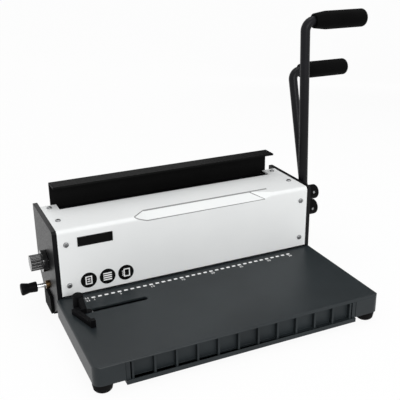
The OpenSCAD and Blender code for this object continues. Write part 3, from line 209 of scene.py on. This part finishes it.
def lay_floor():
    """A white floor, a hair below the feet."""
    bpy.ops.mesh.primitive_plane_add(size=12.0, location=(0.0, 0.0, -0.0004))
    floor = bpy.context.active_object
    floor.name = "studio_floor"
    paper = bpy.data.materials.new("studio_paper")
    paper.use_nodes = True
    nodes, links = paper.node_tree.nodes, paper.node_tree.links
    nodes.clear()
    diffuse = nodes.new("ShaderNodeBsdfDiffuse")
    diffuse.inputs["Color"].default_value = (0.92, 0.92, 0.92, 1.0)
    glow = nodes.new("ShaderNodeEmission")
    glow.inputs["Color"].default_value = (1.0, 1.0, 1.0, 1.0)
    share = nodes.new("ShaderNodeMath")
    share.operation = "MULTIPLY"
    mix = nodes.new("ShaderNodeMixShader")
    out = nodes.new("ShaderNodeOutputMaterial")
    links.new(seen_directly(nodes, links), share.inputs[0])
    links.new(open_floor(nodes, links), share.inputs[1])
    links.new(share.outputs[0], mix.inputs["Fac"])
    links.new(diffuse.outputs[0], mix.inputs[1])
    links.new(glow.outputs[0], mix.inputs[2])
    links.new(mix.outputs[0], out.inputs["Surface"])
    floor.data.materials.append(paper)
    floor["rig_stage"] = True


def stand_card():
    """A dark card out of view, behind on the right, that takes the glare off the right of the table."""
    place, aim = Vector((0.86, 0.86, 0.5)), Vector((0.1, -0.05, 0.04))
    bpy.ops.mesh.primitive_plane_add(size=0.8, location=place)
    card = bpy.context.active_object
    card.name = "dark_card"
    card.rotation_euler = (aim - place).to_track_quat("Z", "Y").to_euler()
    card.visible_camera = False
    felt = bpy.data.materials.new("card_felt")
    felt.use_nodes = True
    shader = felt.node_tree.nodes["Principled BSDF"]
    shader.inputs["Base Color"].default_value = (0.02, 0.02, 0.02, 1.0)
    shader.inputs["Roughness"].default_value = 0.9
    card.data.materials.append(felt)
    card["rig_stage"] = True


def set_world():
    """Air that looks plain white, and lights the machine a little less."""
    world = bpy.data.worlds.new("studio_air")
    bpy.context.scene.world = world
    world.use_nodes = True
    nodes, links = world.node_tree.nodes, world.node_tree.links
    nodes.clear()
    air = nodes.new("ShaderNodeBackground")
    air.inputs["Color"].default_value = (1.0, 1.0, 1.0, 1.0)
    air.inputs["Strength"].default_value = 0.74
    white = nodes.new("ShaderNodeBackground")
    white.inputs["Color"].default_value = (1.0, 1.0, 1.0, 1.0)
    white.inputs["Strength"].default_value = 1.0
    mix = nodes.new("ShaderNodeMixShader")
    out = nodes.new("ShaderNodeOutputWorld")
    links.new(seen_directly(nodes, links), mix.inputs["Fac"])
    links.new(air.outputs[0], mix.inputs[1])
    links.new(white.outputs[0], mix.inputs[2])
    links.new(mix.outputs[0], out.inputs["Surface"])


def hang_lamp(name, place, aim, size, watts):
    bpy.ops.object.light_add(type="AREA", location=place)
    lamp = bpy.context.active_object
    lamp.name = name
    lamp.data.shape = "SQUARE"
    lamp.data.size = size
    lamp.data.energy = watts
    lamp.rotation_euler = (Vector(aim) - Vector(place)).to_track_quat("-Z", "Y").to_euler()


set_camera()
lay_floor()
stand_card()
set_world()
hang_lamp("top_softbox", place=(0.15, 0.05, 1.7), aim=(0.0, 0.0, 0.05), size=0.7, watts=4.5)
hang_lamp("front_softbox", place=(0.05, -1.95, 1.1), aim=(0.0, 0.0, 0.1), size=0.8, watts=16.0)
hang_lamp("side_softbox", place=(-1.9, -0.2, 0.9), aim=(-0.1, 0.0, 0.1), size=0.9, watts=0.8)
bpy.context.scene.view_settings.view_transform = "Standard"


# Finishes

def start_finish(name, colour, roughness, metal=0.0, shine=0.5):
    finish = bpy.data.materials.new(name)
    finish.use_nodes = True
    shader = finish.node_tree.nodes["Principled BSDF"]
    shader.inputs["Base Color"].default_value = (*colour, 1.0)
    shader.inputs["Roughness"].default_value = roughness
    shader.inputs["Metallic"].default_value = metal
    shader.inputs["Specular IOR Level"].default_value = shine
    return finish, shader


def add_coords(finish, stretch=(1.0, 1.0, 1.0)):
    nodes, links = finish.node_tree.nodes, finish.node_tree.links
    coords = nodes.new("ShaderNodeTexCoord")
    mapping = nodes.new("ShaderNodeMapping")
    mapping.inputs["Scale"].default_value = stretch
    links.new(coords.outputs["Object"], mapping.inputs["Vector"])
    return mapping.outputs["Vector"]


def add_noise(finish, coords, scale, detail, rough=0.5):
    noise = finish.node_tree.nodes.new("ShaderNodeTexNoise")
    noise.inputs["Scale"].default_value = scale
    noise.inputs["Detail"].default_value = detail
    noise.inputs["Roughness"].default_value = rough
    finish.node_tree.links.new(coords, noise.inputs["Vector"])
    return noise.outputs["Fac"]


def add_grain(finish, shader, height, depth, strength=1.0):
    bump = finish.node_tree.nodes.new("ShaderNodeBump")
    bump.inputs["Strength"].default_value = strength
    bump.inputs["Distance"].default_value = depth
    finish.node_tree.links.new(height, bump.inputs["Height"])
    finish.node_tree.links.new(bump.outputs["Normal"], shader.inputs["Normal"])


def add_tone(finish, shader, factor, dark, light):
    ramp = finish.node_tree.nodes.new("ShaderNodeValToRGB")
    ramp.color_ramp.elements[0].position = 0.35
    ramp.color_ramp.elements[0].color = (*dark, 1.0)
    ramp.color_ramp.elements[1].position = 0.65
    ramp.color_ramp.elements[1].color = (*light, 1.0)
    finish.node_tree.links.new(factor, ramp.inputs["Fac"])
    finish.node_tree.links.new(ramp.outputs["Color"], shader.inputs["Base Color"])


def add_gloss(finish, shader, factor, rough):
    spread = finish.node_tree.nodes.new("ShaderNodeMapRange")
    spread.inputs["From Min"].default_value = 0.3
    spread.inputs["From Max"].default_value = 0.7
    spread.inputs["To Min"].default_value = rough[0]
    spread.inputs["To Max"].default_value = rough[1]
    finish.node_tree.links.new(factor, spread.inputs["Value"])
    finish.node_tree.links.new(spread.outputs["Result"], shader.inputs["Roughness"])


def moulded_plastic(name, dark, light, rough, shine, grain=1600.0, depth=0.00006):
    """Moulded plastic, rubber or ink, with a fine grain."""
    finish, shader = start_finish(name, light, rough[0], shine=shine)
    coords = add_coords(finish)
    add_tone(finish, shader, add_noise(finish, coords, scale=14.0, detail=4.0), dark, light)
    fine = add_noise(finish, coords, scale=grain, detail=3.0, rough=0.6)
    add_gloss(finish, shader, fine, rough)
    add_grain(finish, shader, fine, depth)
    return finish


def powder_coat(name, dark, light, rough, shine):
    """Baked powder paint with a slight orange peel."""
    finish, shader = start_finish(name, light, rough[0], shine=shine)
    coords = add_coords(finish)
    add_tone(finish, shader, add_noise(finish, coords, scale=9.0, detail=3.0), dark, light)
    skin = add_noise(finish, coords, scale=650.0, detail=2.0, rough=0.4)
    add_gloss(finish, shader, skin, rough)
    add_grain(finish, shader, skin, depth=0.00004)
    return finish


def ground_metal(name, dark, light, rough, close=(4.0, 900.0, 900.0)):
    """Metal with grinding lines, and how close they lie along each axis."""
    finish, shader = start_finish(name, light, rough[0], metal=1.0)
    coords = add_coords(finish, close)
    lines = add_noise(finish, coords, scale=1.0, detail=3.0, rough=0.6)
    add_tone(finish, shader, lines, dark, light)
    add_gloss(finish, shader, lines, rough)
    add_grain(finish, shader, lines, depth=0.00002, strength=0.6)
    return finish


table_charcoal = moulded_plastic("table_charcoal", (0.0122, 0.0162, 0.0185), (0.0172, 0.0224, 0.0252),
                                 rough=(0.34, 0.43), shine=0.26)
drawer_charcoal = moulded_plastic("drawer_charcoal", (0.0098, 0.0134, 0.0156), (0.0148, 0.0200, 0.0228),
                                  rough=(0.46, 0.6), shine=0.28)
knob_black = moulded_plastic("knob_black", (0.003, 0.003, 0.0035), (0.005, 0.005, 0.006),
                             rough=(0.07, 0.11), shine=0.6, grain=2200.0, depth=0.00001)
guide_black = moulded_plastic("guide_black", (0.0025, 0.0025, 0.003), (0.004, 0.004, 0.0045),
                              rough=(0.42, 0.56), shine=0.05)
grip_black = moulded_plastic("grip_black", (0.0015, 0.0015, 0.0015), (0.003, 0.003, 0.003),
                             rough=(0.55, 0.7), shine=0.03, grain=900.0, depth=0.00008)
foot_black = moulded_plastic("foot_black", (0.002, 0.002, 0.002), (0.004, 0.004, 0.004),
                             rough=(0.6, 0.8), shine=0.08, grain=700.0, depth=0.0001)
badge_black = moulded_plastic("badge_black", (0.002, 0.002, 0.002), (0.003, 0.003, 0.003),
                              rough=(0.3, 0.4), shine=0.1, grain=2500.0, depth=0.00001)
print_white = moulded_plastic("print_white", (0.84, 0.84, 0.84), (0.90, 0.90, 0.90),
                              rough=(0.5, 0.6), shine=0.3, grain=2500.0, depth=0.00001)
cover_white = powder_coat("cover_white", (0.800, 0.815, 0.815), (0.835, 0.848, 0.846),
                          rough=(0.42, 0.54), shine=0.25)
# Grey for the pressed line round the cover's facet: painted shade that stands for the shadow in the groove.
painted_groove_shade = powder_coat("painted_groove_shade", (0.27, 0.275, 0.275), (0.31, 0.315, 0.315),
                        rough=(0.5, 0.6), shine=0.2)
plate_black = powder_coat("plate_black", (0.002, 0.002, 0.0025), (0.004, 0.004, 0.005),
                          rough=(0.3, 0.42), shine=0.15)
press_black = powder_coat("press_black", (0.004, 0.004, 0.004), (0.006, 0.006, 0.006),
                          rough=(0.42, 0.56), shine=0.03)
lever_black = powder_coat("lever_black", (0.003, 0.003, 0.004), (0.006, 0.006, 0.008),
                          rough=(0.34, 0.46), shine=0.16)
ground_steel = ground_metal("ground_steel", (0.40, 0.41, 0.42), (0.56, 0.57, 0.58),
                            rough=(0.24, 0.42))
screw_steel = ground_metal("screw_steel", (0.22, 0.225, 0.23), (0.34, 0.345, 0.35),
                           rough=(0.3, 0.45), close=(700.0, 700.0, 700.0))
spring_wire = ground_metal("spring_wire", (0.50, 0.51, 0.52), (0.64, 0.65, 0.66),
                           rough=(0.2, 0.32), close=(900.0, 900.0, 900.0))
pin_steel = ground_metal("pin_steel", (0.55, 0.56, 0.57), (0.70, 0.71, 0.72),
                         rough=(0.16, 0.28), close=(6.0, 900.0, 900.0))
turned_brass = ground_metal("turned_brass", (0.10, 0.062, 0.028), (0.17, 0.105, 0.048),
                            rough=(0.26, 0.4), close=(900.0, 60.0, 60.0))

FINISHES = {
    "table_plastic": table_charcoal,
    "drawer_plastic": drawer_charcoal,
    "foot_rubber": foot_black,
    "plate_paint": plate_black,
    "cover_paint": cover_white,
    "black_paint": press_black,
    "grip_rubber": grip_black,
    "black_plastic": knob_black,
    "badge_black": badge_black,
    "machined_steel": ground_steel,
    "screw_steel": screw_steel,
    "spring_steel": spring_wire,
    "brass": turned_brass,
}


def coat(piece, finish):
    piece.data.materials.clear()
    piece.data.materials.append(finish)


slot_of = {part["node"]: part["material_slot"] for part in frame["record"]["subparts"]}
body_of = {node: body for body, nodes in frame["record"]["behaviour"]["bodies"].items() for node in nodes}
for node, solid in frame["nodes"].items():
    coat(solid, FINISHES[slot_of[node]])
for node in ("punch_lever", "closing_lever"):
    coat(frame["nodes"][node], lever_black)
for node in ("pull_pin", "guide_posts", "punch_shaft", "closing_shaft", "size_spindle"):
    coat(frame["nodes"][node], pin_steel)


# Modelling by hand

def choose(piece):
    bpy.ops.object.select_all(action="DESELECT")
    piece.select_set(True)
    bpy.context.view_layer.objects.active = piece


def pick(piece, kind, wanted):
    """Selects the faces or edges of a piece that are wanted, and leaves it in edit mode."""
    choose(piece)
    bpy.ops.object.mode_set(mode="EDIT")
    bpy.ops.mesh.select_mode(type=kind)
    bpy.ops.mesh.select_all(action="DESELECT")
    bpy.ops.object.mode_set(mode="OBJECT")
    for part in piece.data.polygons if kind == "FACE" else piece.data.edges:
        part.select = wanted(part)
    bpy.ops.object.mode_set(mode="EDIT")


def settle(piece):
    """Moves a piece's place, turn and size into its mesh."""
    choose(piece)
    bpy.ops.object.transform_apply(location=True, rotation=True, scale=True)


def round_edges(piece, width, steps=3, crease=30.0):
    """Rounds every sharp edge, and clears the slivers that this leaves."""
    choose(piece)
    bpy.ops.object.shade_smooth_by_angle(angle=math.radians(crease))
    bevel = piece.modifiers.new("rounding", "BEVEL")
    bevel.width = width * MM
    bevel.segments = steps
    bevel.limit_method = "ANGLE"
    bevel.angle_limit = math.radians(SHARP)
    bevel.harden_normals = True
    bpy.ops.object.modifier_apply(modifier="rounding")
    bpy.ops.object.mode_set(mode="EDIT")
    bpy.ops.mesh.select_all(action="SELECT")
    bpy.ops.mesh.remove_doubles(threshold=SLIVER * MM)
    bpy.ops.mesh.dissolve_degenerate(threshold=SLIVER * MM)
    bpy.ops.object.mode_set(mode="OBJECT")


def even_light(piece, crease=30.0):
    """Keeps flat faces flat to the light and curved ones smooth."""
    choose(piece)
    bpy.ops.object.shade_smooth_by_angle(angle=math.radians(crease))
    even = piece.modifiers.new("even_light", "WEIGHTED_NORMAL")
    even.keep_sharp = True
    bpy.ops.object.modifier_apply(modifier="even_light")


def cut_away(piece, tool, tool_finish=False):
    """Cuts a tool's shape out of a piece, and uses the tool up; the cut may take the tool's finish."""
    choose(piece)
    cut = piece.modifiers.new("cut", "BOOLEAN")
    cut.operation = "DIFFERENCE"
    cut.solver = "EXACT"
    cut.object = tool
    if tool_finish:
        cut.use_self = True
        cut.material_mode = "TRANSFER"
    bpy.ops.object.modifier_apply(modifier="cut")
    bpy.data.objects.remove(tool)


def copy_solid(node, name):
    """A merged copy of a CAD node, ready to be worked on."""
    choose(frame["nodes"][node])
    bpy.ops.object.duplicate()
    piece = bpy.context.active_object
    piece.name = name
    del piece["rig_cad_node"]
    bpy.ops.mesh.customdata_custom_splitnormals_clear()
    bpy.ops.object.mode_set(mode="EDIT")
    bpy.ops.mesh.select_all(action="SELECT")
    bpy.ops.mesh.remove_doubles(threshold=WELD * MM)
    bpy.ops.mesh.dissolve_limited(angle_limit=math.radians(FLAT))
    bpy.ops.object.mode_set(mode="OBJECT")
    return piece


def stand_in(piece, node, finish=None):
    """Puts a piece in the place of a CAD node, on the node's body."""
    if finish:
        coat(piece, finish)
    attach(piece, body_of[node])
    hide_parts(node)


def soften(node, name, width, finish, steps=3):
    """Puts the CAD node with its sharp edges rounded in the node's place."""
    piece = copy_solid(node, name)
    round_edges(piece, width, steps)
    even_light(piece)
    stand_in(piece, node, finish)


def join_pieces(pieces, name):
    bpy.ops.object.select_all(action="DESELECT")
    for piece in pieces:
        piece.select_set(True)
    bpy.context.view_layer.objects.active = pieces[0]
    if len(pieces) > 1:
        bpy.ops.object.join()
    whole = bpy.context.active_object
    whole.name = name
    return whole


soften("side_plate_left", "left_plate", 0.9, plate_black)
soften("side_plate_right", "right_plate", 0.9, plate_black)
soften("base_shell", "table_moulding", 0.5, table_charcoal)
soften("chip_drawer", "chip_tray", 0.4, drawer_charcoal)
soften("press_bar", "press_angle", 0.5, press_black)
soften("edge_guide", "paper_guide", 0.7, guide_black)
soften("size_knob", "size_dial_knob", 0.45, knob_black)
soften("pull_knob", "plunger_knob", 0.5, guide_black)
soften("rear_panel", "back_panel", 0.5, plate_black)
soften("anvil_plate", "anvil_ledge", 0.4, plate_black)
soften("closing_sleeve", "bearing_sleeve", 0.5, press_black)
soften("pull_bush", "plunger_bush", 0.3, turned_brass)
soften("base_screws", "base_screw_set", 0.15, screw_steel, steps=2)
soften("guide_screws", "guide_screw_set", 0.15, screw_steel, steps=2)
soften("rear_feet", "pad_feet", 0.6, foot_black)
soften("badges", "round_badges", 0.15, badge_black, steps=2)
for side in ("punch", "closing"):
    soften(side + "_grip", side + "_handle_grip", 0.4, grip_black)
    soften(side + "_hub", side + "_handle_hub", 0.4, press_black)


# Springs of the joints, in smooth wire

def wind_spring(held):
    """A joint's spring in smooth wire, put in the place of its CAD node."""
    node = held["node"]
    line = held["mode"][-1]
    fixed = held["fixed_end_" + line + "_m"]
    length = getattr(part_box(node)[1], line) - fixed
    spring = copy_solid(node, node + "_wire")
    even_light(spring, crease=60.0)
    stand_in(spring, node, spring_wire)
    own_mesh(spring)


for joint in frame["record"]["behaviour"]["joints"]:
    for held in joint.get("deforming_nodes", ()):
        wind_spring(held)


# Feet with round soles

def mould_feet():
    bore, sole, rounding = 7.0 * MM, 0.2 * MM, 3.6 * MM
    feet = copy_solid("front_feet", "round_feet")
    low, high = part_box("front_feet")
    radius = (high.y - low.y) / 2
    axes = [Vector((x, low.y + radius, 0.0)) for x in (low.x + radius, high.x - radius)]
    points = [point.co.copy() for point in feet.data.vertices]

    def at_sole_rim(edge):
        ends = [points[i] for i in edge.vertices]
        outer = all(min((end - axis).to_2d().length for axis in axes) > bore for end in ends)
        return outer and max(end.z for end in ends) < sole

    pick(feet, "EDGE", at_sole_rim)
    bpy.ops.mesh.bevel(offset=rounding, segments=5, affect="EDGES")
    bpy.ops.object.mode_set(mode="OBJECT")
    even_light(feet, crease=35.0)
    stand_in(feet, "front_feet", foot_black)


mould_feet()


# The blank nameplate, with a fine line engraved round its face

def engrave_nameplate():
    edge, margin, groove = 0.15 * MM, 0.9 * MM, 0.2 * MM
    plate = copy_solid("nameplate", "blank_nameplate")
    pick(plate, "FACE", lambda face: face.normal.y < -0.99)
    bpy.ops.mesh.inset(thickness=edge, depth=0.0)
    bpy.ops.mesh.inset(thickness=margin)
    bpy.ops.mesh.inset(thickness=groove, depth=-groove)
    bpy.ops.mesh.inset(thickness=groove, depth=groove)
    bpy.ops.object.mode_set(mode="OBJECT")
    even_light(plate)
    stand_in(plate, "nameplate", badge_black)


engrave_nameplate()


# The cover, with the pressed facet on its front edge

def facet_outline(cover):
    """A thin tube round the facet up to its slanted right end, and a broad crease along its upper edge."""
    facets = (Vector((0.0, -0.3269, 0.9450)), Vector((0.2895, -0.3130, 0.9048)))
    smallest = 100.0 * MM * MM
    tube = 0.9 * MM
    left, right, back, up = -59.0, 121.0, 31.3, 125.7
    deep, broad = 0.8, 2.0

    def in_facet(face):
        return face.area > smallest and any(face.normal.dot(facet) > 0.9995 for facet in facets)

    pick(cover, "FACE", in_facet)
    bpy.ops.mesh.region_to_loop()
    bpy.ops.mesh.duplicate()
    bpy.ops.mesh.separate(type="SELECTED")
    bpy.ops.object.mode_set(mode="OBJECT")
    outline = [piece for piece in bpy.context.selected_objects if piece is not cover][0]
    choose(outline)
    bpy.ops.object.convert(target="CURVE")
    outline.data.bevel_depth = tube
    outline.data.bevel_resolution = 2
    bpy.ops.object.convert(target="MESH")
    bpy.ops.mesh.primitive_cylinder_add(vertices=16, radius=1.0 * MM, depth=(right - left) * MM,
                                        location=spot((left + right) / 2, back, up),
                                        rotation=(0, math.radians(90), 0))
    crease = bpy.context.active_object
    crease.scale = (deep, broad, 1.0)
    settle(crease)
    return join_pieces([outline, crease], "facet_outline")


def press_cover():
    """The folded white cover, with a fine line pressed round its facet; the line's cut faces are painted grey
    as the shade in the groove.
    """
    fold = 12.0
    cover = copy_solid("cover", "white_cover")
    outline = facet_outline(cover)
    round_edges(cover, 0.45, crease=fold)
    coat(cover, cover_white)
    # The tube's grey passes onto the cut faces as painted shade in the groove and crease.
    coat(outline, painted_groove_shade)
    cut_away(cover, outline, tool_finish=True)
    even_light(cover, crease=fold)
    stand_in(cover, "cover")


press_cover()


# Screw heads

FACE_UP = Matrix.Identity(4)
FACE_FRONT = Matrix.Rotation(math.radians(90), 4, "X")
FACE_BACK = Matrix.Rotation(math.radians(-90), 4, "X")


def cross_screw():
    """A domed head with a cross recess, standing on the scene's own zero."""
    dome, recess_z, recess = 1.5 * MM, 1.9 * MM, (3.6 * MM, 0.75 * MM, 2.0 * MM)
    bpy.ops.mesh.primitive_cylinder_add(vertices=32, radius=HEAD_R, depth=HEAD_H, location=(0, 0, HEAD_H / 2))
    head = bpy.context.active_object
    points = [point.co.copy() for point in head.data.vertices]
    pick(head, "EDGE", lambda edge: min(points[i].z for i in edge.vertices) > HEAD_H / 4)
    bpy.ops.mesh.bevel(offset=dome, segments=5, affect="EDGES")
    bpy.ops.object.mode_set(mode="OBJECT")
    settle(head)
    for turn in (0.0, 90.0):
        bpy.ops.mesh.primitive_cube_add(size=1.0, location=(0, 0, recess_z))
        blade = bpy.context.active_object
        blade.scale = recess
        blade.rotation_euler = (0, 0, math.radians(turn))
        settle(blade)
        cut_away(head, blade)
    bpy.ops.object.shade_smooth_by_angle(angle=math.radians(35.0))
    return head


def fit_screws(name, node, rows):
    """Copies of one head in rows of (places, tilt), put in the place of a CAD node's screws."""
    first = cross_screw()
    places = [(place, tilt) for row, tilt in rows for place in row]
    heads = []
    for (place, tilt), turn in zip(places, HEAD_TURNS):
        choose(first)
        bpy.ops.object.duplicate()
        head = bpy.context.active_object
        head.matrix_world = Matrix.Translation(place) @ tilt @ Matrix.Rotation(math.radians(turn), 4, "Z")
        settle(head)
        heads.append(head)
    bpy.data.objects.remove(first)
    stand_in(join_pieces(heads, name), node, screw_steel)


fit_screws("cover_screw_heads", "cover_screws",
           [([spot(x, COVER_FRONT, z) for x, z in FRONT_SCREWS], FACE_FRONT),
            ([spot(x, y, COVER_TOP) for x, y in TOP_SCREWS], FACE_UP)])
fit_screws("rear_screw_heads", "rear_panel_screws",
           [([spot(x, REAR_FACE, z) for x, z in REAR_SCREWS], FACE_BACK)])
low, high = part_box("press_screws")
middle = (low + high) / 2
row = [Vector((x, high.y - HEAD_H, middle.z)) for x in (low.x + HEAD_R, high.x - HEAD_R)]
fit_screws("press_screw_heads", "press_screws", [(row, FACE_BACK)])
low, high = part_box("anvil_screws")
middle = (low + high) / 2
row = [Vector((x, middle.y, high.z - HEAD_H)) for x in (low.x + HEAD_R, ZERO.x, high.x - HEAD_R)]
fit_screws("anvil_screw_heads", "anvil_screws", [(row, FACE_UP)])


# Printing on the table

def raise_ink(height):
    """Gives the flat piece in edit mode the thickness of its ink, and leaves edit mode."""
    bpy.ops.mesh.select_all(action="SELECT")
    bpy.ops.mesh.extrude_region_move(TRANSFORM_OT_translate={"value": (0, 0, height * MM)})
    bpy.ops.mesh.select_all(action="SELECT")
    bpy.ops.mesh.normals_make_consistent(inside=False)
    bpy.ops.object.mode_set(mode="OBJECT")


def add_print(piece):
    """White printing, on the frame's body."""
    coat(piece, print_white)
    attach(piece, "frame")


def print_marks():
    """The row of white marks that shows where the holes go."""
    bpy.ops.mesh.primitive_plane_add(size=1.0)
    first = bpy.context.active_object
    first.scale = (MARK_W * MM, MARK_D * MM, 1.0)
    first.location = spot(-(HOLES - 1) * PITCH / 2, 0.0, TABLE_TOP)
    settle(first)
    bpy.ops.object.mode_set(mode="EDIT")
    bpy.ops.mesh.select_all(action="SELECT")
    bpy.ops.mesh.bevel(offset=MARK_CORNER * MM, segments=3, affect="VERTICES")
    raise_ink(TABLE_INK)
    marks = [first]
    for i in range(1, HOLES):
        choose(first)
        bpy.ops.object.duplicate()
        mark = bpy.context.active_object
        mark.location.x += i * PITCH * MM
        settle(mark)
        marks.append(mark)
    add_print(join_pieces(marks, "hole_marks"))


def print_numbers():
    """Plain counts under the end marks and every fifth mark, and two beside the row's left end."""
    numbers = []
    counts = [(hole, (hole - 1 - (HOLES - 1) / 2) * PITCH, NUMBER_Y) for hole in NUMBERED]
    counts += END_NUMBERS
    for count, x, y in counts:
        bpy.ops.object.text_add(location=spot(x, y, TABLE_TOP))
        number = bpy.context.active_object
        number.data.body = str(count)
        number.data.size = NUMBER_H * MM
        number.data.align_x = "CENTER"
        number.data.align_y = "CENTER"
        number.data.extrude = TABLE_INK * MM
        bpy.ops.object.convert(target="MESH")
        settle(number)
        numbers.append(number)
    add_print(join_pieces(numbers, "hole_numbers"))


# Signs on the badges: plain pictures of a page, a stack of sheets and a wired book

def flat_bar(width, height, u=0.0, v=0.0):
    """A flat bar, in millimetres, with its middle at (u, v)."""
    bpy.ops.mesh.primitive_plane_add(size=1.0, location=(u * MM, v * MM, 0))
    bar = bpy.context.active_object
    bar.scale = (width * MM, height * MM, 1.0)
    settle(bar)
    return bar


def flat_frame(width, height, line, u=0.0):
    """The same with an open middle, inside a line of the given width."""
    rim = flat_bar(width, height, u)
    bpy.ops.object.mode_set(mode="EDIT")
    bpy.ops.mesh.select_mode(type="FACE")
    bpy.ops.mesh.select_all(action="SELECT")
    bpy.ops.mesh.inset(thickness=line * MM)
    bpy.ops.mesh.delete(type="FACE")
    bpy.ops.object.mode_set(mode="OBJECT")
    return rim


def print_sign(name, shapes, x):
    """Sets flat shapes on the front of a badge, with the thickness of their ink."""
    sign = join_pieces(shapes, name)
    bpy.ops.object.mode_set(mode="EDIT")
    raise_ink(SIGN_INK)
    sign.matrix_world = Matrix.Translation(spot(x, COVER_FRONT - BADGE_T, SIGN_Z)) @ FACE_FRONT
    settle(sign)
    add_print(sign)


def print_signs():
    tall, line = 11.2, 1.4
    page = [flat_frame(8.6, tall, line)]
    page += [flat_bar(3.6, 1.3, v=v) for v in (1.5, -1.5)]
    print_sign("page_sign", page, SIGN_X[0])
    sheets = [flat_bar(11.0, 1.6, v=2.9 * (i - 1.5)) for i in range(4)]
    print_sign("sheets_sign", sheets, SIGN_X[1])
    book = [flat_frame(8.4, tall, line, u=1.0)]
    book += [flat_bar(3.8, 1.1, u=-3.3, v=2.7 * (i - 1)) for i in range(3)]
    print_sign("book_sign", book, SIGN_X[2])


print_marks()
print_numbers()
print_signs()

low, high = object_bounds()
